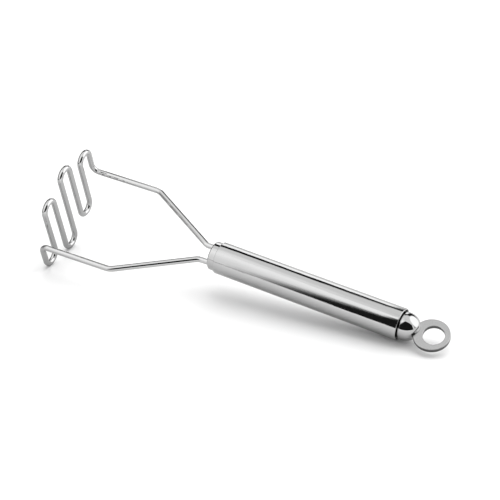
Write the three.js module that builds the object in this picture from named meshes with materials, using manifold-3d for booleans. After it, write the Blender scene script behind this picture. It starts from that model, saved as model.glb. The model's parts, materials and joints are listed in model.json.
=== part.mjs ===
// Wire potato masher: one bent steel wire whose two ends are held in a tubular handle
// with a domed end cap and a flat hanging ring. Millimetres, +Z up.
//
// Every piece is drawn in the handle frame: x runs along the handle's axis from the tube's
// front edge (x = 0) towards the ring, y runs across the wire arms and z is square to both.
// The whole masher is then laid down the way it lies on a table: on two of the lower
// bends of its zigzag face and on the rear edge of the handle tube.

import * as THREE from "three";
import { mergeVertices } from "three/addons/utils/BufferGeometryUtils.js";
import Module from "manifold-3d";

const wasm = await Module();
wasm.setup();

// Driving dimensions of the handle.
const TUBE_LENGTH = 123;
const TUBE_RADIUS = 10;
const TUBE_WALL = 0.7;
const TUBE_EDGE_ROUND = 0.35;
const GAP = 0.3;

// Driving dimensions of the wire. Distances ahead of the tube are along the axis.
const WIRE_RADIUS = 1.8;
const COLUMN_PITCH = 11.08;
const FACE_AHEAD = 108.8;
const SHOULDER_AHEAD = 60;
const TANG_BEND_AHEAD = 12;
const TANG_OFFSET = 5.7;
const TANG_DEPTH = 8.5;
const FRAME_YAW = THREE.MathUtils.degToRad(2.2);

// How far the zigzag's bends reach from the arms' plane: outer, middle and inner bends.
const OUTER_REACH = 20.8;
const MIDDLE_REACH = 22.8;
const INNER_REACH = 29.9;

// Bend radii of the wire's centre line.
const TANG_BEND_RADIUS = 7;
const SHOULDER_RADIUS = 9;
const CORNER_RADIUS = 5;
const U_BEND_RADIUS = COLUMN_PITCH / 2;

// Front plug, rear cap and ring.
const PLUG_RADIUS = TUBE_RADIUS - TUBE_WALL - GAP;
const PLUG_PROUD = 4.8;
const PLUG_DEPTH = 10;
const PLUG_EDGE_ROUND = 1.1;
const CAP_RADIUS = 8.6;
const CAP_SKIRT = 2.4;
const CAP_DOME_LENGTH = 9.2;
const CAP_WALL = 1.2;
const CAP_SPIGOT_DEPTH = 9;
const CAP_NECK_DEPTH = 0.8;
const CAP_GROOVE_RADIUS = 7.9;
const CAP_GROOVE_WIDTH = 1.0;
const RING_CENTRE = 19.3;
const RING_RADIUS = 11.1;
const RING_HOLE_RADIUS = 6.55;
const RING_HOLE_SHIFT = 1.3;
const RING_THICKNESS = 2.5;
const RING_BEVEL = 0.25;
const RING_TAB_REACH = 18;
const RING_TAB_HALF_WIDTH = 4.6;

// Smoothness of the faceted solids.
const LATHE_SIDES = 56;
const WIRE_SIDES = 12;
const STEPS_PER_RIGHT_ANGLE = 5;

const HALF_WIDTH = 3 * COLUMN_PITCH;
const AXIS_X = new THREE.Vector3(1, 0, 0);
const AXIS_Z = new THREE.Vector3(0, 0, 1);

const steel = (color, roughness) =>
  new THREE.MeshStandardMaterial({ color, roughness, metalness: 1 });
const polishedSteel = () => steel(0xc4c6c8, 0.12);
const brushedSteel = () => steel(0xbcbec0, 0.28);
const satinSteel = () => steel(0xb4b6b8, 0.35);

// ---------------------------------------------------------------- the bent wire

// A wire path with round corners. Each straight is one step long and each corner has
// evenly spaced stations, so the sweep spends its facets on the bends.
class BentWire extends THREE.Curve {
  constructor(corners) {
    super();
    this.stations = [];
    const first = corners[0];
    const last = corners[corners.length - 1];
    this.addStation(first.point, corners[1].point.clone().sub(first.point).normalize());
    for (let i = 1; i < corners.length - 1; i++) {
      this.addCorner(corners[i - 1].point, corners[i], corners[i + 1].point);
    }
    this.addStation(last.point, this.stations.at(-1).tangent);
  }

  addStation(point, tangent) {
    const previous = this.stations.at(-1);
    const repeated = previous && previous.point.distanceTo(point) < 1e-3;
    if (!repeated) {
      this.stations.push({ point: point.clone(), tangent: tangent.clone() });
    }
  }

  // The arc that rounds one corner, tangent to the straights on both sides.
  addCorner(before, corner, after) {
    const along = corner.point.clone().sub(before).normalize();
    const away = after.clone().sub(corner.point).normalize();
    const turn = along.angleTo(away);
    const axis = along.clone().cross(away).normalize();
    const start = corner.point
      .clone()
      .addScaledVector(along, -corner.radius * Math.tan(turn / 2));
    const toCentre = axis.clone().cross(along);
    const centre = start.clone().addScaledVector(toCentre, corner.radius);
    const steps = Math.max(2, Math.round((STEPS_PER_RIGHT_ANGLE * turn) / (Math.PI / 2)));
    for (let k = 0; k <= steps; k++) {
      const angle = (turn * k) / steps;
      const spoke = start.clone().sub(centre).applyAxisAngle(axis, angle);
      this.addStation(spoke.add(centre), along.clone().applyAxisAngle(axis, angle));
    }
  }

  getPoint(t, target = new THREE.Vector3()) {
    const place = t * (this.stations.length - 1);
    const low = Math.min(Math.floor(place + 1e-9), this.stations.length - 2);
    return target.lerpVectors(
      this.stations[low].point,
      this.stations[low + 1].point,
      place - low,
    );
  }

  getTangent(t, target = new THREE.Vector3()) {
    const place = Math.round(t * (this.stations.length - 1));
    return target.copy(this.stations[place].tangent);
  }

  getPointAt(u, target) {
    return this.getPoint(u, target);
  }

  getTangentAt(u, target) {
    return this.getTangent(u, target);
  }
}

// The signed reach of each U-bend of the face, from the near side to the far side.
const bendReaches = [
  -OUTER_REACH,
  MIDDLE_REACH,
  -INNER_REACH,
  INNER_REACH,
  -MIDDLE_REACH,
  OUTER_REACH,
];

// Corners of the whole wire: near tang, near arm, zigzag face, far arm, far tang.
function wireCorners() {
  const corner = (x, y, z, radius = 0) => ({ point: new THREE.Vector3(x, y, z), radius });
  const arm = (side) => [
    corner(TANG_DEPTH, side * TANG_OFFSET, 0),
    corner(-TANG_BEND_AHEAD, side * TANG_OFFSET, 0, TANG_BEND_RADIUS),
    corner(-SHOULDER_AHEAD, side * HALF_WIDTH, 0, SHOULDER_RADIUS),
    corner(-FACE_AHEAD, side * HALF_WIDTH, 0, CORNER_RADIUS),
  ];
  const zigzag = bendReaches.flatMap((reach, i) => {
    const y = -HALF_WIDTH + i * COLUMN_PITCH;
    return [
      corner(-FACE_AHEAD, y, reach, U_BEND_RADIUS),
      corner(-FACE_AHEAD, y + COLUMN_PITCH, reach, U_BEND_RADIUS),
    ];
  });
  return [...arm(-1), ...zigzag, ...arm(1).reverse()];
}

function circle(radius) {
  return new THREE.Shape().absarc(0, 0, radius, 0, 2 * Math.PI, false);
}

function wireGeometry() {
  const path = new BentWire(wireCorners());
  return new THREE.ExtrudeGeometry(circle(WIRE_RADIUS), {
    steps: path.stations.length - 1,
    curveSegments: WIRE_SIDES / 2,
    extrudePath: path,
  });
}

// ---------------------------------------------------------------- turned pieces

// Turns a profile of [x, radius] pairs about the handle's axis. The profile runs along the
// outside towards +x.
function turned(profile) {
  const points = profile.map(([x, radius]) => new THREE.Vector2(radius, x));
  return new THREE.LatheGeometry(points, LATHE_SIDES).rotateZ(-Math.PI / 2);
}

// Points of a quarter ellipse in a profile, from one angle to another.
function arc(centreX, centreRadius, halfX, halfRadius, from, to, steps) {
  return Array.from({ length: steps + 1 }, (_, k) => {
    const angle = from + ((to - from) * k) / steps;
    return [centreX + halfX * Math.cos(angle), centreRadius + halfRadius * Math.sin(angle)];
  });
}

function tubeGeometry() {
  const round = TUBE_EDGE_ROUND;
  const inner = TUBE_RADIUS - TUBE_WALL;
  return turned([
    [TUBE_LENGTH, inner],
    [0, inner],
    ...arc(round, TUBE_RADIUS - round, round, round, Math.PI, Math.PI / 2, 3),
    ...arc(TUBE_LENGTH - round, TUBE_RADIUS - round, round, round, Math.PI / 2, 0, 3),
    [TUBE_LENGTH, inner],
  ]);
}

function plugBlank() {
  const round = PLUG_EDGE_ROUND;
  const roundX = round - PLUG_PROUD;
  return turned([
    [-PLUG_PROUD, 0],
    ...arc(roundX, PLUG_RADIUS - round, round, round, Math.PI, Math.PI / 2, 4),
    [PLUG_DEPTH, PLUG_RADIUS],
    [PLUG_DEPTH, 0],
  ]);
}

// The rear cap is a pressed shell: a spigot in the tube, a groove behind the tube's edge
// and a dome.
function capBlank() {
  const spigotRadius = TUBE_RADIUS - TUBE_WALL - GAP;
  const domeBase = TUBE_LENGTH + CAP_SKIRT;
  const inner = CAP_RADIUS - CAP_WALL;
  const dome = (length, radius, from, to) => arc(domeBase, 0, length, radius, from, to, 9);
  return turned([
    [TUBE_LENGTH - CAP_SPIGOT_DEPTH, inner],
    [TUBE_LENGTH - CAP_SPIGOT_DEPTH, spigotRadius],
    [TUBE_LENGTH - CAP_NECK_DEPTH - GAP, spigotRadius],
    [TUBE_LENGTH - CAP_NECK_DEPTH, CAP_GROOVE_RADIUS],
    [TUBE_LENGTH + CAP_GROOVE_WIDTH, CAP_GROOVE_RADIUS],
    [TUBE_LENGTH + CAP_GROOVE_WIDTH, CAP_RADIUS],
    ...dome(CAP_DOME_LENGTH, CAP_RADIUS, Math.PI / 2, 0),
    ...dome(CAP_DOME_LENGTH - CAP_WALL, inner, 0, Math.PI / 2),
    [TUBE_LENGTH - CAP_SPIGOT_DEPTH, inner],
  ]);
}

// ---------------------------------------------------------------- the hanging ring

// The plate's outline seen square on: a disc with a straight tab towards the handle.
function ringOutline(grow) {
  const radius = RING_RADIUS + grow;
  const half = RING_TAB_HALF_WIDTH + grow;
  const tabAngle = Math.PI - Math.asin(half / radius);
  const outline = new THREE.Shape();
  outline.moveTo(-RING_TAB_REACH - grow, half);
  outline.lineTo(-RING_TAB_REACH - grow, -half);
  outline.absarc(0, 0, radius, -tabAngle, tabAngle, false);
  outline.closePath();
  return outline;
}

// A plate of the ring's outline, centred on the arms' plane.
function ringPlate(outline, thickness, bevel) {
  const geometry = new THREE.ExtrudeGeometry(outline, {
    depth: thickness - 2 * bevel,
    bevelEnabled: bevel > 0,
    bevelThickness: bevel,
    bevelSize: bevel,
    bevelOffset: -bevel,
    bevelSegments: 1,
    curveSegments: 24,
  });
  return geometry.translate(TUBE_LENGTH + RING_CENTRE, 0, bevel - thickness / 2);
}

function ringGeometry() {
  const outline = ringOutline(0);
  const hole = new THREE.Path();
  hole.absarc(RING_HOLE_SHIFT, 0, RING_HOLE_RADIUS, 0, 2 * Math.PI, true);
  outline.holes.push(hole);
  return ringPlate(outline, RING_THICKNESS, RING_BEVEL);
}

// ---------------------------------------------------------------- cuts

function toSolid(geometry) {
  const bare = geometry.clone();
  bare.deleteAttribute("normal");
  bare.deleteAttribute("uv");
  const merged = mergeVertices(bare, 1e-4);
  return new wasm.Manifold(
    new wasm.Mesh({
      numProp: 3,
      vertProperties: merged.attributes.position.array,
      triVerts: new Uint32Array(merged.index.array),
    }),
  );
}

function toGeometry(solid) {
  const mesh = solid.getMesh();
  const geometry = new THREE.BufferGeometry();
  geometry.setAttribute("position", new THREE.BufferAttribute(mesh.vertProperties, 3));
  geometry.setIndex(new THREE.BufferAttribute(mesh.triVerts, 1));
  geometry.computeVertexNormals();
  return geometry;
}

// A hole through the plug for one tang. It follows the wire, which sits a little askew.
function tangDrill(side) {
  const length = 3 * PLUG_DEPTH;
  return new THREE.CylinderGeometry(WIRE_RADIUS + GAP, WIRE_RADIUS + GAP, length, 24)
    .rotateZ(Math.PI / 2)
    .translate(0, side * TANG_OFFSET, 0)
    .rotateZ(FRAME_YAW);
}

function plugGeometry() {
  const drilled = [-1, 1].reduce(
    (solid, side) => solid.subtract(toSolid(tangDrill(side))),
    toSolid(plugBlank()),
  );
  return toGeometry(drilled);
}

// The slot in the dome is the ring's own outline with clearance all round.
function capGeometry() {
  const slot = ringPlate(ringOutline(GAP), RING_THICKNESS + 2 * GAP, 0);
  return toGeometry(toSolid(capBlank()).subtract(toSolid(slot)));
}

// ---------------------------------------------------------------- resting pose

// The lowest point of a round-bent wire loop, for a given up direction.
function lowestOnBend(index, up) {
  const y = -HALF_WIDTH + (index + 0.5) * COLUMN_PITCH;
  const z = bendReaches[index] + U_BEND_RADIUS;
  const centre = new THREE.Vector3(-FACE_AHEAD, y, z).applyAxisAngle(AXIS_Z, FRAME_YAW);
  const faceNormal = AXIS_X.clone().applyAxisAngle(AXIS_Z, FRAME_YAW);
  const inFace = up.clone().projectOnPlane(faceNormal).normalize();
  return centre.addScaledVector(inFace, -U_BEND_RADIUS).addScaledVector(up, -WIRE_RADIUS);
}

function lowestOnTube(up) {
  const across = up.clone().projectOnPlane(AXIS_X).normalize();
  return new THREE.Vector3(TUBE_LENGTH, 0, 0).addScaledVector(across, -TUBE_RADIUS);
}

// Up direction in the handle frame when the outer and inner lower bends on the near side
// and the tube's rear edge all touch the table. A few rounds settle it.
function restingUp() {
  const up = AXIS_Z.clone();
  for (let round = 0; round < 30; round++) {
    const outer = lowestOnBend(0, up);
    const inner = lowestOnBend(2, up);
    const rear = lowestOnTube(up);
    up.crossVectors(rear.sub(outer), inner.sub(outer)).normalize();
  }
  return up;
}

// Turns the handle frame so that up is +Z and the handle points along +X.
function layDown(group) {
  const up = restingUp();
  const forward = AXIS_X.clone().projectOnPlane(up).normalize();
  const left = up.clone().cross(forward);
  const toHandleFrame = new THREE.Matrix4().makeBasis(forward, left, up);
  group.quaternion.setFromRotationMatrix(toHandleFrame.transpose());
  group.updateMatrixWorld(true);
  const box = new THREE.Box3().setFromObject(group, true);
  const centre = box.getCenter(new THREE.Vector3());
  group.position.set(-centre.x, -centre.y, -box.min.z);
}

// ---------------------------------------------------------------- assembly

function piece(name, geometry, material) {
  const mesh = new THREE.Mesh(geometry, material);
  mesh.name = name;
  return mesh;
}

const wireFrame = new THREE.Group();
wireFrame.rotation.z = FRAME_YAW;
wireFrame.add(piece("masher_wire", wireGeometry(), polishedSteel()));

const handleFrame = new THREE.Group();
handleFrame.add(
  wireFrame,
  piece("front_plug", plugGeometry(), polishedSteel()),
  piece("handle_tube", tubeGeometry(), brushedSteel()),
  piece("end_cap", capGeometry(), polishedSteel()),
  piece("hanging_ring", ringGeometry(), satinSteel()),
);
layDown(handleFrame);

const masher = new THREE.Group();
masher.add(handleFrame);

export default masher;
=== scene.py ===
"""Looks of the wire potato masher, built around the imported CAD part.

Every piece is drawn in the handle frame, in millimetres: x runs along the handle from the
tube's front edge towards the ring, y across the wire arms, z square to both. The frame's
place comes from the CAD tube's box and from the normal of the ring's mount.
"""

import json
import math

import bmesh
import bpy
from mathutils import Matrix, Vector


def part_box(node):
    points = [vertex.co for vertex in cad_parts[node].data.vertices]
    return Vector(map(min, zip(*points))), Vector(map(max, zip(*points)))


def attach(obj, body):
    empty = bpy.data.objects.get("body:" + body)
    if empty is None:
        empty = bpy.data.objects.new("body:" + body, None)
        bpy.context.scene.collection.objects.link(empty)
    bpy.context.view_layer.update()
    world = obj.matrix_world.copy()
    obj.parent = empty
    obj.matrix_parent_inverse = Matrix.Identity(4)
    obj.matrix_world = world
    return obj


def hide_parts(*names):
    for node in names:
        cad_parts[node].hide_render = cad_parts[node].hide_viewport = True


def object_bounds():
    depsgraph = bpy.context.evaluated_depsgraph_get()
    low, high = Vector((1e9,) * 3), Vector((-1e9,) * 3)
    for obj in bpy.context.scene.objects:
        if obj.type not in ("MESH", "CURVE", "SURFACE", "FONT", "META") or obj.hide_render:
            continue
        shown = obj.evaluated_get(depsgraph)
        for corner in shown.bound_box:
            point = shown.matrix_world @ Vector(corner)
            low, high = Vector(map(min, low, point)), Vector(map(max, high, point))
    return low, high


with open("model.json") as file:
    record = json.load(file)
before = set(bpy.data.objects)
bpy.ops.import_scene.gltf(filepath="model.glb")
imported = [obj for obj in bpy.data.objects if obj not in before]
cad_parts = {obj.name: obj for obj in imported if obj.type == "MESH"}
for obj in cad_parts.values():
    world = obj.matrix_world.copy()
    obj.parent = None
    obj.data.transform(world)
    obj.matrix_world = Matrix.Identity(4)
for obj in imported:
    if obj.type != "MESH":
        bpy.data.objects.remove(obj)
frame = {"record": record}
cad_low, cad_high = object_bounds()

MM = 0.001

# Driving dimensions in millimetres, the same as the CAD part's.
TUBE_LENGTH = 123.0
TUBE_RADIUS = 10.0
TUBE_WALL = 0.7
TUBE_EDGE_ROUND = 0.35
WIRE_RADIUS = 1.8
COLUMN_PITCH = 11.08
HALF_WIDTH = 3 * COLUMN_PITCH
FACE_AHEAD = 108.8
SHOULDER_AHEAD = 60.0
TANG_BEND_AHEAD = 12.0
TANG_OFFSET = 5.7
TANG_DEPTH = 8.5
FRAME_YAW = math.radians(2.2)
BEND_REACHES = (-20.8, 22.8, -29.9, 29.9, -22.8, 20.8)
TANG_BEND_RADIUS = 7.0
SHOULDER_RADIUS = 9.0
CORNER_RADIUS = 5.0
U_BEND_RADIUS = COLUMN_PITCH / 2
PLUG_RADIUS = 9.0
PLUG_PROUD = 4.8
PLUG_DEPTH = 10.0
PLUG_EDGE_ROUND = 1.1
CAP_RADIUS = 8.6
CAP_SKIRT = 2.4
CAP_DOME_LENGTH = 9.2
CAP_WALL = 1.2
CAP_SPIGOT_DEPTH = 9.0
CAP_SPIGOT_RADIUS = 9.0
CAP_NECK_DEPTH = 0.8
CAP_NECK_SLOPE = 0.3
CAP_GROOVE_RADIUS = 7.9
CAP_GROOVE_WIDTH = 1.0
RING_CENTRE = TUBE_LENGTH + 19.3
RING_RADIUS = 11.1
RING_HOLE_RADIUS = 6.55
RING_HOLE_SHIFT = 1.3
RING_THICKNESS = 2.5
RING_TAB_REACH = 18.0
RING_TAB_HALF_WIDTH = 4.6

# Finer details in millimetres, where the CAD part is coarser or keeps wider gaps.
CAP_BEAD_ROUND = 0.3
RING_EDGE_ROUND = 0.3
TANG_HOLE_GAP = 0.08
SLOT_GAP = 0.2
SLOT_EDGE_ROUND = 0.02

# Smoothness of the meshes.
LATHE_SIDES = 160
TUBE_LENGTHS = 12
TUBE_EDGE_STEPS = 8
PLUG_EDGE_STEPS = 10
CAP_BEAD_STEPS = 6
DOME_STEPS = 40
DOME_INSIDE_STEPS = 24
WIRE_SIDES = 28
STEPS_PER_RIGHT_ANGLE = 14
STRAIGHT_STEP = 6.0
DRILL_SIDES = 64
RING_SPOKES = 192
PLATE_EDGE_STEPS = 6

# Camera: the direction, roll and lens that the object is seen with.
CAMERA_AZIMUTH = math.radians(28.73)
CAMERA_ELEVATION = math.radians(29.85)
CAMERA_ROLL = math.radians(-0.478)
CAMERA_DISTANCE = 1.1369
CAMERA_LENS = 136.32
CAMERA_AIM_FROM_CENTRE = Vector((0.0043, -0.0033, 0.0057))

# Steel: noise scales per millimetre, and how far tone and wear swing.
FINE_GRAIN_SCALE = 1.6
BROAD_TONE_SCALE = 0.16
BROAD_TONE_STRETCH = 0.35
BROAD_TONE_SWING = 0.06
WEAR_SCALE = 0.9
SCUFF_DARKENING = 0.25
SMOOTHEST = 0.02

# World seen in the steel: level 1 at the bottom, then steps upwards as (elevation in degrees,
# softness, level). They were tuned against the photograph's grey levels.
BEHIND_STEPS = [(17, 4, 1.75), (38, 1, 0.01), (56.5, 1, 1.1)]
BEHIND_LEFT_STEPS = [(3, 2, 0.02), (43, 2, 1.1)]
BEHIND_RIGHT_STEPS = [(6, 3, 0.02), (52, 4, 1.1)]
AHEAD_STEPS = [(38, 8, 1.25), (56, 7, 1.35), (82, 6, 1.1)]
SOFTBOX_TOWARDS = Vector((0.66, 0.55, 0.5))
SOFTBOX_LEVEL = 1.9

# World seen by everything else. The tone is that of level 1, and the camera sees white.
WORLD_TONE = 0.8
FILL_AHEAD = 0.78
FILL_BEHIND = 1.2

# Front panel: size and place in metres, and the slope and level of its dark middle.
PANEL_HALF_WIDTH = 2.6
PANEL_HEIGHT = 1.1
PANEL_AHEAD = -0.36
PANEL_DARK_LEAN = 0.25
PANEL_DARK_LEVEL = 0.012

# Floor and key light, in metres and watts.
FLOOR_REACH = 6.0
FLOOR_DROP = 0.0001
FLOOR_TONE = 0.92
LIGHT_PLACE = Vector((0.5, 7.0, 12.0))
LIGHT_SIZE = 22.0
LIGHT_POWER = 2000.0


# ---------------------------------------------------------------- the handle frame

def handle_matrix():
    """Handle frame in millimetres to the part's frame in metres."""
    mount = frame["record"]["mounts"][0]
    square = Vector(mount["axis"]).normalized()
    along = Vector((square.z, 0, -square.x)).normalized()
    across = square.cross(along)
    low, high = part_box("handle_tube")
    origin = (low + high) / 2 - along * (TUBE_LENGTH / 2 * MM)
    turn = Matrix((along, across, square)).transposed().to_4x4()
    return Matrix.Translation(origin) @ turn @ Matrix.Scale(MM, 4)


HANDLE = handle_matrix()


# ---------------------------------------------------------------- mesh helpers

def new_object(name, bm):
    mesh = bpy.data.meshes.new(name)
    bmesh.ops.recalc_face_normals(bm, faces=bm.faces)
    bm.to_mesh(mesh)
    bm.free()
    made = bpy.data.objects.new(name, mesh)
    bpy.context.scene.collection.objects.link(made)
    return made


def bridge(bm, ring_a, ring_b):
    count = len(ring_a)
    for i in range(count):
        j = (i + 1) % count
        bm.faces.new((ring_a[i], ring_a[j], ring_b[j], ring_b[i]))


def lathe(name, profile, closed):
    """Turns [x, radius] points about the x axis. A closed profile joins its two ends."""
    bm = bmesh.new()
    rings = []
    for x, radius in profile:
        if radius < 1e-6:
            rings.append([bm.verts.new((x, 0, 0))])
            continue
        angles = [2 * math.pi * k / LATHE_SIDES for k in range(LATHE_SIDES)]
        rings.append(
            [bm.verts.new((x, radius * math.cos(a), radius * math.sin(a))) for a in angles]
        )
    pairs = list(zip(rings, rings[1:]))
    if closed:
        pairs.append((rings[-1], rings[0]))
    for ring_a, ring_b in pairs:
        if len(ring_a) == 1 and len(ring_b) == 1:
            continue
        if len(ring_a) == 1 or len(ring_b) == 1:
            tip, rim = (ring_a[0], ring_b) if len(ring_a) == 1 else (ring_b[0], ring_a)
            for i in range(LATHE_SIDES):
                bm.faces.new((tip, rim[i], rim[(i + 1) % LATHE_SIDES]))
        else:
            bridge(bm, ring_a, ring_b)
    return new_object(name, bm)


def arc(centre_x, centre_radius, half_x, half_radius, start, end, steps):
    points = []
    for k in range(steps + 1):
        angle = start + (end - start) * k / steps
        x = centre_x + half_x * math.cos(angle)
        points.append((x, max(centre_radius + half_radius * math.sin(angle), 0.0)))
    return points


def cut(target, tool):
    """Subtracts one mesh from another and removes the tool."""
    modifier = target.modifiers.new("cut", "BOOLEAN")
    modifier.operation = "DIFFERENCE"
    modifier.solver = "EXACT"
    modifier.object = tool
    bpy.context.view_layer.update()
    graph = bpy.context.evaluated_depsgraph_get()
    result = bpy.data.meshes.new_from_object(target.evaluated_get(graph))
    target.modifiers.remove(modifier)
    target.data = result
    bpy.data.objects.remove(tool)


def add_grain_positions(piece, positions):
    """Stores where the surface grain is looked up, in millimetres."""
    attribute = piece.data.attributes.new("grain", "FLOAT_VECTOR", "POINT")
    for i, position in enumerate(positions):
        attribute.data[i].vector = position


def settle(piece, node, material, sharp_angle=40):
    """Smooths a piece, moves it into the part's frame and lets it stand for its CAD node."""
    if "grain" not in piece.data.attributes:
        add_grain_positions(piece, [v.co.copy() for v in piece.data.vertices])
    piece.data.shade_smooth()
    piece.data.set_sharp_from_angle(angle=math.radians(sharp_angle))
    piece.data.transform(HANDLE)
    piece.data.materials.clear()
    piece.data.materials.append(material)
    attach(piece, "root")
    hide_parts(node)


# ---------------------------------------------------------------- the bent wire

def wire_corners():
    def arm(side):
        return [
            (Vector((TANG_DEPTH, side * TANG_OFFSET, 0)), 0),
            (Vector((-TANG_BEND_AHEAD, side * TANG_OFFSET, 0)), TANG_BEND_RADIUS),
            (Vector((-SHOULDER_AHEAD, side * HALF_WIDTH, 0)), SHOULDER_RADIUS),
            (Vector((-FACE_AHEAD, side * HALF_WIDTH, 0)), CORNER_RADIUS),
        ]

    zigzag = []
    for i, reach in enumerate(BEND_REACHES):
        y = -HALF_WIDTH + i * COLUMN_PITCH
        zigzag.append((Vector((-FACE_AHEAD, y, reach)), U_BEND_RADIUS))
        zigzag.append((Vector((-FACE_AHEAD, y + COLUMN_PITCH, reach)), U_BEND_RADIUS))
    return arm(-1) + zigzag + arm(1)[::-1]


def wire_stations():
    """Points and tangents along the wire's centre line, with round corners."""
    corners = wire_corners()
    stations = []

    def add(point, tangent):
        if stations:
            gap = (point - stations[-1][0]).length
            if gap < 1e-3:
                return
            start = stations[-1][0].copy()
            extra = int(gap // STRAIGHT_STEP)
            for k in range(1, extra + 1):
                stations.append((start.lerp(point, k / (extra + 1)), tangent.copy()))
        stations.append((point.copy(), tangent.copy()))

    first = (corners[1][0] - corners[0][0]).normalized()
    add(corners[0][0], first)
    for before, (point, radius), after in zip(corners, corners[1:], corners[2:]):
        along = (point - before[0]).normalized()
        away = (after[0] - point).normalized()
        turn = along.angle(away)
        axis = along.cross(away).normalized()
        start = point - along * radius * math.tan(turn / 2)
        centre = start + axis.cross(along) * radius
        steps = max(4, round(STEPS_PER_RIGHT_ANGLE * turn / (math.pi / 2)))
        for k in range(steps + 1):
            spin = Matrix.Rotation(turn * k / steps, 3, axis)
            add(centre + spin @ (start - centre), spin @ along)
    add(corners[-1][0], stations[-1][1])
    return stations


def make_wire(material):
    stations = wire_stations()
    yaw = Matrix.Rotation(FRAME_YAW, 3, "Z")
    bm = bmesh.new()
    rings = []
    grain = []
    normal = Vector((0, 0, 1))
    travelled = 0.0
    for i, (point, tangent) in enumerate(stations):
        if i:
            travelled += (point - stations[i - 1][0]).length
            turn = stations[i - 1][1].rotation_difference(tangent)
            normal = turn @ normal
        normal = (normal - tangent * normal.dot(tangent)).normalized()
        side = tangent.cross(normal)
        ring = []
        for k in range(WIRE_SIDES):
            angle = 2 * math.pi * k / WIRE_SIDES
            spoke = normal * math.cos(angle) + side * math.sin(angle)
            ring.append(bm.verts.new(yaw @ (point + spoke * WIRE_RADIUS)))
            grain.append(
                (travelled, WIRE_RADIUS * math.cos(angle), WIRE_RADIUS * math.sin(angle))
            )
        rings.append(ring)
    for ring_a, ring_b in zip(rings, rings[1:]):
        bridge(bm, ring_a, ring_b)
    bm.faces.new(rings[0])
    bm.faces.new(rings[-1])
    wire = new_object("wire_frame", bm)
    add_grain_positions(wire, grain)
    settle(wire, "masher_wire", material)


# ---------------------------------------------------------------- turned pieces

def make_tube(material):
    round_ = TUBE_EDGE_ROUND
    inner = TUBE_RADIUS - TUBE_WALL
    shoulder = TUBE_RADIUS - round_
    profile = [(0, inner)]
    steps = TUBE_EDGE_STEPS
    profile += arc(round_, shoulder, round_, round_, math.pi, math.pi / 2, steps)
    for k in range(1, TUBE_LENGTHS):
        profile.append((TUBE_LENGTH * k / TUBE_LENGTHS, TUBE_RADIUS))
    profile += arc(TUBE_LENGTH - round_, shoulder, round_, round_, math.pi / 2, 0, steps)
    profile.append((TUBE_LENGTH, inner))
    tube = lathe("tube_handle", profile, closed=True)
    settle(tube, "handle_tube", material)


def make_plug(material):
    round_ = PLUG_EDGE_ROUND
    profile = [(-PLUG_PROUD, 0)]
    corner = PLUG_RADIUS - round_
    steps = PLUG_EDGE_STEPS
    profile += arc(round_ - PLUG_PROUD, corner, round_, round_, math.pi, math.pi / 2, steps)
    profile += [(PLUG_DEPTH, PLUG_RADIUS), (PLUG_DEPTH, 0)]
    plug = lathe("front_fitting", profile, closed=False)
    yaw = Matrix.Rotation(FRAME_YAW, 4, "Z")
    along_x = Matrix.Rotation(math.pi / 2, 4, "Y")
    for side in (-1, 1):
        bm = bmesh.new()
        bmesh.ops.create_cone(
            bm,
            segments=DRILL_SIDES,
            radius1=WIRE_RADIUS + TANG_HOLE_GAP,
            radius2=WIRE_RADIUS + TANG_HOLE_GAP,
            depth=3 * PLUG_DEPTH,
            cap_ends=True,
        )
        lay = Matrix.Translation((0, side * TANG_OFFSET, 0)) @ along_x
        bmesh.ops.transform(bm, matrix=yaw @ lay, verts=bm.verts)
        cut(plug, new_object("drill", bm))
    settle(plug, "front_plug", material, 35)


def make_cap(material):
    base = TUBE_LENGTH + CAP_SKIRT
    inner = CAP_RADIUS - CAP_WALL
    rear = TUBE_LENGTH - CAP_SPIGOT_DEPTH
    profile = [(rear, inner), (rear, CAP_SPIGOT_RADIUS)]
    profile.append((TUBE_LENGTH - CAP_NECK_DEPTH - CAP_NECK_SLOPE, CAP_SPIGOT_RADIUS))
    profile.append((TUBE_LENGTH - CAP_NECK_DEPTH, CAP_GROOVE_RADIUS))
    bead = TUBE_LENGTH + CAP_GROOVE_WIDTH
    profile.append((bead, CAP_GROOVE_RADIUS))
    round_ = CAP_BEAD_ROUND
    rim = CAP_RADIUS - round_
    profile += arc(bead + round_, rim, round_, round_, math.pi, math.pi / 2, CAP_BEAD_STEPS)
    profile += arc(base, 0, CAP_DOME_LENGTH, CAP_RADIUS, math.pi / 2, 0, DOME_STEPS)
    inside_length = CAP_DOME_LENGTH - CAP_WALL
    profile += arc(base, 0, inside_length, inner, 0, math.pi / 2, DOME_INSIDE_STEPS)
    cap = lathe("domed_cap", profile, closed=True)
    slot = plate("slot", SLOT_GAP, SLOT_EDGE_ROUND, with_hole=False)
    cut(cap, slot)
    settle(cap, "end_cap", material, 35)


# ---------------------------------------------------------------- the hanging ring

def outline_reach(angle, grow):
    """Distance from the hole's centre to the plate's outline: a disc with a straight tab."""
    radius = RING_RADIUS + grow
    half = RING_TAB_HALF_WIDTH + grow
    reach = RING_TAB_REACH + grow + RING_HOLE_SHIFT
    dx, dy = math.cos(angle), math.sin(angle)
    along = RING_HOLE_SHIFT * dx
    disc = -along + math.sqrt(along * along - RING_HOLE_SHIFT**2 + radius**2)
    if dx > -0.1:
        return disc
    tab = min(half / max(abs(dy), 1e-9), reach / -dx)
    return max(disc, tab)


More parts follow.
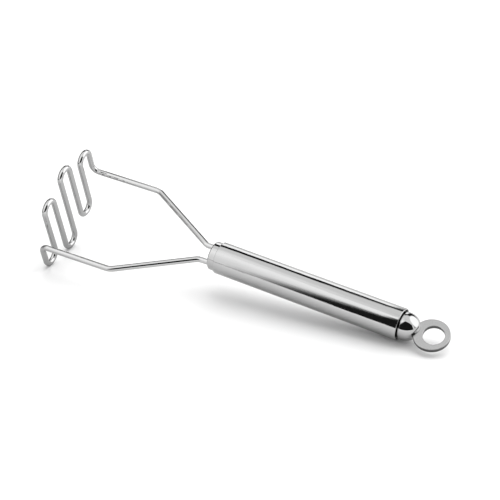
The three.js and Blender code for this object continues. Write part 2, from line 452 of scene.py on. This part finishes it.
def plate(name, grow, round_, with_hole):
    """The ring's plate, centred on the arms' plane, with rounded edges."""
    tab_corner = math.atan2(
        RING_TAB_HALF_WIDTH + grow, -(RING_TAB_REACH + grow + RING_HOLE_SHIFT)
    )
    angles = [2 * math.pi * k / RING_SPOKES for k in range(RING_SPOKES)]
    angles = sorted(angles + [tab_corner, 2 * math.pi - tab_corner])
    half = RING_THICKNESS / 2 + grow
    centre_x = RING_CENTRE + RING_HOLE_SHIFT
    levels = []
    for k in range(PLATE_EDGE_STEPS + 1):
        angle = math.pi / 2 * k / PLATE_EDGE_STEPS
        levels.append((round_ * (1 - math.sin(angle)), half - round_ * (1 - math.cos(angle))))
    outer_levels = levels + [(inset, -height) for inset, height in reversed(levels)]
    bm = bmesh.new()

    def loop(reach_of, height):
        verts = []
        for angle in angles:
            reach = reach_of(angle)
            x = centre_x + reach * math.cos(angle)
            verts.append(bm.verts.new((x, reach * math.sin(angle), height)))
        return verts

    outside = [
        loop(lambda a, i=inset: outline_reach(a, grow) - i, height)
        for inset, height in outer_levels
    ]
    for ring_a, ring_b in zip(outside, outside[1:]):
        bridge(bm, ring_a, ring_b)
    if with_hole:
        inside = [
            loop(lambda a, i=inset: RING_HOLE_RADIUS + i, height)
            for inset, height in outer_levels
        ]
        for ring_a, ring_b in zip(inside, inside[1:]):
            bridge(bm, ring_a, ring_b)
        bridge(bm, outside[0], inside[0])
        bridge(bm, outside[-1], inside[-1])
    else:
        bm.faces.new(outside[0])
        bm.faces.new(outside[-1])
    return new_object(name, bm)


def make_ring(material):
    ring = plate("ring_plate", 0.0, RING_EDGE_ROUND, with_hole=True)
    settle(ring, "hanging_ring", material)


# ---------------------------------------------------------------- node helpers

class Graph:
    """Short calls for building a node tree."""

    def __init__(self, tree):
        self.tree = tree
        tree.nodes.clear()

    def node(self, kind, **settings):
        made = self.tree.nodes.new(kind)
        for name, value in settings.items():
            setattr(made, name, value)
        return made

    def link(self, source, target):
        self.tree.links.new(source, target)

    def put(self, socket, value):
        if isinstance(value, bpy.types.NodeSocket):
            self.link(value, socket)
        else:
            socket.default_value = value

    def math(self, operation, a, b=0.0, clamp=False):
        made = self.node("ShaderNodeMath", operation=operation, use_clamp=clamp)
        self.put(made.inputs[0], a)
        self.put(made.inputs[1], b)
        return made.outputs[0]

    def between(self, value, low, high, to_low=0.0, to_high=1.0):
        made = self.node("ShaderNodeMapRange", interpolation_type="SMOOTHSTEP")
        self.put(made.inputs["Value"], value)
        made.inputs["From Min"].default_value = low
        made.inputs["From Max"].default_value = high
        made.inputs["To Min"].default_value = to_low
        made.inputs["To Max"].default_value = to_high
        return made.outputs["Result"]

    def blend(self, factor, a, b):
        made = self.node("ShaderNodeMix", data_type="FLOAT")
        self.put(made.inputs[0], factor)
        self.put(made.inputs[2], a)
        self.put(made.inputs[3], b)
        return made.outputs[0]

    def noise(self, vector, scale, detail=3.0, roughness=0.5):
        made = self.node("ShaderNodeTexNoise")
        self.put(made.inputs["Vector"], vector)
        made.inputs["Scale"].default_value = scale
        made.inputs["Detail"].default_value = detail
        made.inputs["Roughness"].default_value = roughness
        return made.outputs["Fac"]

    def stretched(self, vector, scale):
        made = self.node("ShaderNodeVectorMath", operation="MULTIPLY")
        self.put(made.inputs[0], vector)
        made.inputs[1].default_value = scale
        return made.outputs[0]

    def split(self, vector):
        made = self.node("ShaderNodeSeparateXYZ")
        self.put(made.inputs[0], vector)
        return made.outputs


# ---------------------------------------------------------------- steel

def groove_painted_shade(g, place):
    """0 in the groove between the tube and the dome, where painted shade tones the steel
    nearly black.
    """
    return g.between(g.split(place)[0], TUBE_LENGTH + 0.4, TUBE_LENGTH + 0.9)


def dull_edge_and_shade(g, place):
    """0 on the plate's edge, which is toned darker than its faces: partly a duller cut edge,
    partly painted shade for the shaded table that the edge reflects.
    """
    height = g.math("ABSOLUTE", g.split(place)[2])
    flat = RING_THICKNESS / 2
    return g.between(height, flat - 0.3, flat - 0.1)


def steel(name, tone, roughness, streak, spread, bump, scuff, shading=None, darkest=0.1):
    """Stainless steel with fine grain along x of the grain positions.

    streak is how far one grain line runs against its width, spread is how much roughness
    varies from line to line, bump is the depth of the grain in micrometres, and scuff is the
    strength of broad handling marks. Where shading gives 0, the tone is multiplied by
    darkest."""
    material = bpy.data.materials.new(name)
    material.use_nodes = True
    g = Graph(material.node_tree)
    out = g.node("ShaderNodeOutputMaterial")
    shader = g.node("ShaderNodeBsdfPrincipled")
    g.link(shader.outputs[0], out.inputs[0])
    shader.inputs["Metallic"].default_value = 1.0
    place = g.node("ShaderNodeAttribute", attribute_name="grain").outputs["Vector"]
    fine = g.noise(g.stretched(place, (1 / streak, 1, 1)), FINE_GRAIN_SCALE, 4.0, 0.6)
    broad = g.noise(g.stretched(place, (BROAD_TONE_STRETCH, 1, 1)), BROAD_TONE_SCALE, 3.0)
    wear = g.noise(place, WEAR_SCALE, 5.0, 0.65)
    fine_swing = g.math("SUBTRACT", fine, 0.5)
    broad_swing = g.math("SUBTRACT", broad, 0.5)
    rough = g.math("ADD", roughness, g.math("MULTIPLY", fine_swing, spread))
    marks = g.math("MULTIPLY", g.between(wear, 0.52, 0.75), scuff)
    rough = g.math("ADD", rough, marks)
    g.link(g.math("MAXIMUM", rough, SMOOTHEST), shader.inputs["Roughness"])
    shade = g.math("ADD", tone, g.math("MULTIPLY", broad_swing, BROAD_TONE_SWING))
    shade = g.math("SUBTRACT", shade, g.math("MULTIPLY", marks, SCUFF_DARKENING))
    shade = g.math("ADD", shade, g.math("MULTIPLY", fine_swing, spread * 0.5))
    if shading:
        shade = g.math("MULTIPLY", shade, g.between(shading(g, place), 0.0, 1.0, darkest, 1.0))
    colour = g.node("ShaderNodeCombineColor")
    for socket in colour.inputs[:3]:
        g.link(shade, socket)
    g.link(colour.outputs[0], shader.inputs["Base Color"])
    relief = g.node("ShaderNodeBump")
    relief.inputs["Strength"].default_value = 1.0
    relief.inputs["Distance"].default_value = bump * MM / 1000
    g.link(fine, relief.inputs["Height"])
    g.link(relief.outputs[0], shader.inputs["Normal"])
    return material


# ---------------------------------------------------------------- studio

def set_up_world():
    """White to the camera, a soft fill stronger from behind, and panels in the reflections."""
    world = bpy.data.worlds.new("studio")
    bpy.context.scene.world = world
    world.use_nodes = True
    g = Graph(world.node_tree)
    out = g.node("ShaderNodeOutputWorld")
    direction = g.node("ShaderNodeTexCoord").outputs["Generated"]
    x, y, z = g.split(direction)
    elevation = g.math("MULTIPLY", g.math("ARCSINE", z), 180 / math.pi)

    def bands(steps):
        """Brightness from level 1 at the bottom upwards in soft steps."""
        value = 1.0
        for start, softness, level in steps:
            step = g.between(elevation, start - softness, start + softness)
            value = g.blend(step, value, level)
        return value

    behind = bands(BEHIND_STEPS)
    behind = g.blend(g.between(x, -0.41, -0.385), bands(BEHIND_LEFT_STEPS), behind)
    behind = g.blend(g.between(x, -0.24, -0.18), behind, bands(BEHIND_RIGHT_STEPS))
    ahead = g.math("MULTIPLY", bands(AHEAD_STEPS), g.between(x, -0.3, -0.17, 1.08, 0.85))
    studio = g.blend(g.between(y, -0.12, 0.12), ahead, behind)
    lean = g.node("ShaderNodeVectorMath", operation="DOT_PRODUCT")
    g.link(direction, lean.inputs[0])
    lean.inputs[1].default_value = SOFTBOX_TOWARDS.normalized()
    studio = g.blend(g.between(lean.outputs["Value"], 0.77, 0.84), studio, SOFTBOX_LEVEL)

    path = g.node("ShaderNodeLightPath")
    fill = g.between(y, -0.6, 0.6, FILL_AHEAD, FILL_BEHIND)
    level = g.blend(path.outputs["Is Glossy Ray"], fill, studio)
    strength = g.blend(path.outputs["Is Camera Ray"], level, 1 / WORLD_TONE)
    background = g.node("ShaderNodeBackground")
    background.inputs["Color"].default_value = (WORLD_TONE, WORLD_TONE, WORLD_TONE, 1)
    g.link(strength, background.inputs["Strength"])
    g.link(background.outputs[0], out.inputs[0])


def reflection_only(panel):
    panel.visible_camera = False
    panel.visible_diffuse = False
    panel.visible_shadow = False
    panel.visible_transmission = False
    panel.visible_volume_scatter = False


def make_front_panel():
    """A pale panel before the object with a dark middle, seen in the steel only."""
    bm = bmesh.new()
    half, top = PANEL_HALF_WIDTH, PANEL_HEIGHT
    corners = [(-half, 0), (half, 0), (half, top), (-half, top)]
    bm.faces.new([bm.verts.new((x, PANEL_AHEAD, z)) for x, z in corners])
    panel = new_object("front_panel", bm)
    material = bpy.data.materials.new("front_panel")
    material.use_nodes = True
    g = Graph(material.node_tree)
    out = g.node("ShaderNodeOutputMaterial")
    glow = g.node("ShaderNodeEmission")
    g.link(glow.outputs[0], out.inputs[0])
    x, _, z = g.split(g.node("ShaderNodeTexCoord").outputs["Object"])
    leaning = g.math("SUBTRACT", x, g.math("MULTIPLY", z, PANEL_DARK_LEAN))
    dark = g.between(leaning, -0.18, -0.085)
    dark = g.math("MULTIPLY", dark, g.between(x, 1.2, 1.9, 1.0, 0.0))
    dark = g.math("MULTIPLY", dark, g.between(z, 0.95, 1.08, 1.0, 0.0))
    pale = g.between(z, 0.0, 0.016, 0.25, 1.0)
    pale = g.math("MULTIPLY", pale, g.between(z, 0.0, 0.65, 0.95, 1.25))
    pale = g.math("MULTIPLY", pale, g.between(x, -0.85, -0.5, 0.25, 1.0))
    g.link(g.blend(dark, pale, PANEL_DARK_LEVEL), glow.inputs["Strength"])
    panel.data.materials.append(material)
    reflection_only(panel)


def make_floor():
    """A white table, with a tone of its own where the steel reflects it: darker under and
    behind the object and towards -x, a painted shade in the reflections.
    """
    bm = bmesh.new()
    reach = FLOOR_REACH
    corners = [(-reach, -reach), (reach, -reach), (reach, reach), (-reach, reach)]
    bm.faces.new([bm.verts.new((x, y, cad_low.z - FLOOR_DROP)) for x, y in corners])
    floor = new_object("floor", bm)
    material = bpy.data.materials.new("white_table")
    material.use_nodes = True
    g = Graph(material.node_tree)
    out = g.node("ShaderNodeOutputMaterial")
    shader = g.node("ShaderNodeBsdfDiffuse")
    glossy = g.node("ShaderNodeLightPath").outputs["Is Glossy Ray"]
    x, y, _ = g.split(g.node("ShaderNodeTexCoord").outputs["Object"])
    # Painted shade seen only in the steel: the table is toned darker under and behind the
    # object, darker towards -x and nearly black past x = -0.34.
    painted_reflection_shade = g.between(x, -0.16, -0.02, 0.7, 1.0)
    painted_reflection_shade = g.math("MULTIPLY", painted_reflection_shade, g.between(y, -0.16, 0.0, 0.76, 0.6))
    painted_reflection_shade = g.math("MULTIPLY", painted_reflection_shade, g.between(x, -0.34, -0.22, 0.05, 1.0))
    tone = g.blend(glossy, FLOOR_TONE, painted_reflection_shade)
    colour = g.node("ShaderNodeCombineColor")
    for socket in colour.inputs[:3]:
        g.link(tone, socket)
    g.link(colour.outputs[0], shader.inputs["Color"])
    g.link(shader.outputs[0], out.inputs[0])
    floor.data.materials.append(material)


def make_light():
    """One large soft light, far off so that the whole floor is lit evenly."""
    data = bpy.data.lights.new("overhead", "AREA")
    data.shape = "DISK"
    data.size = LIGHT_SIZE
    data.energy = LIGHT_POWER
    light = bpy.data.objects.new("overhead", data)
    light.location = LIGHT_PLACE
    light.rotation_mode = "QUATERNION"
    light.rotation_quaternion = (-LIGHT_PLACE).to_track_quat("-Z", "Y")
    light.visible_camera = False
    light.visible_glossy = False
    bpy.context.scene.collection.objects.link(light)


def make_camera():
    centre = (cad_low + cad_high) / 2
    forward = Vector((
        -math.sin(CAMERA_AZIMUTH) * math.cos(CAMERA_ELEVATION),
        math.cos(CAMERA_AZIMUTH) * math.cos(CAMERA_ELEVATION),
        -math.sin(CAMERA_ELEVATION),
    ))
    level = Vector((math.cos(CAMERA_AZIMUTH), math.sin(CAMERA_AZIMUTH), 0))
    down = forward.cross(level)
    right = level * math.cos(CAMERA_ROLL) - down * math.sin(CAMERA_ROLL)
    up = right.cross(forward)
    data = bpy.data.cameras.new("camera")
    data.lens = CAMERA_LENS
    data.sensor_width = 36
    camera = bpy.data.objects.new("camera", data)
    turn = Matrix((right, up, -forward)).transposed().to_4x4()
    place = centre + CAMERA_AIM_FROM_CENTRE - forward * CAMERA_DISTANCE
    camera.matrix_world = Matrix.Translation(place) @ turn
    bpy.context.scene.collection.objects.link(camera)
    bpy.context.scene.camera = camera


# ---------------------------------------------------------------- assembly

polished_wire = steel(
    "polished_wire",
    tone=0.7,
    roughness=0.02,
    streak=30,
    spread=0.02,
    bump=1.5,
    scuff=0.04,
)
polished_fittings = steel(
    "polished_fittings",
    tone=0.64,
    roughness=0.03,
    streak=12,
    spread=0.015,
    bump=1,
    scuff=0.03,
)
polished_cap = steel(
    "polished_cap",
    tone=0.64,
    roughness=0.03,
    streak=12,
    spread=0.015,
    bump=1,
    scuff=0.03,
    # The groove behind the tube is painted nearly black: painted shade in the recess.
    shading=groove_painted_shade,
    darkest=0.03,
)
brushed_tube = steel(
    "brushed_tube",
    tone=0.63,
    roughness=0.05,
    streak=60,
    spread=0.06,
    bump=30,
    scuff=0.03,
)
satin_ring = steel(
    "satin_ring",
    tone=0.56,
    roughness=0.2,
    streak=6,
    spread=0.06,
    bump=4,
    scuff=0.08,
    # The plate's edge is toned darker: a duller cut edge with painted shade.
    shading=dull_edge_and_shade,
    darkest=0.3,
)

make_wire(polished_wire)
make_tube(brushed_tube)
make_plug(polished_fittings)
make_cap(polished_cap)
make_ring(satin_ring)

bpy.context.scene.view_settings.view_transform = "Standard"
set_up_world()
make_front_panel()
make_floor()
make_light()
make_camera()
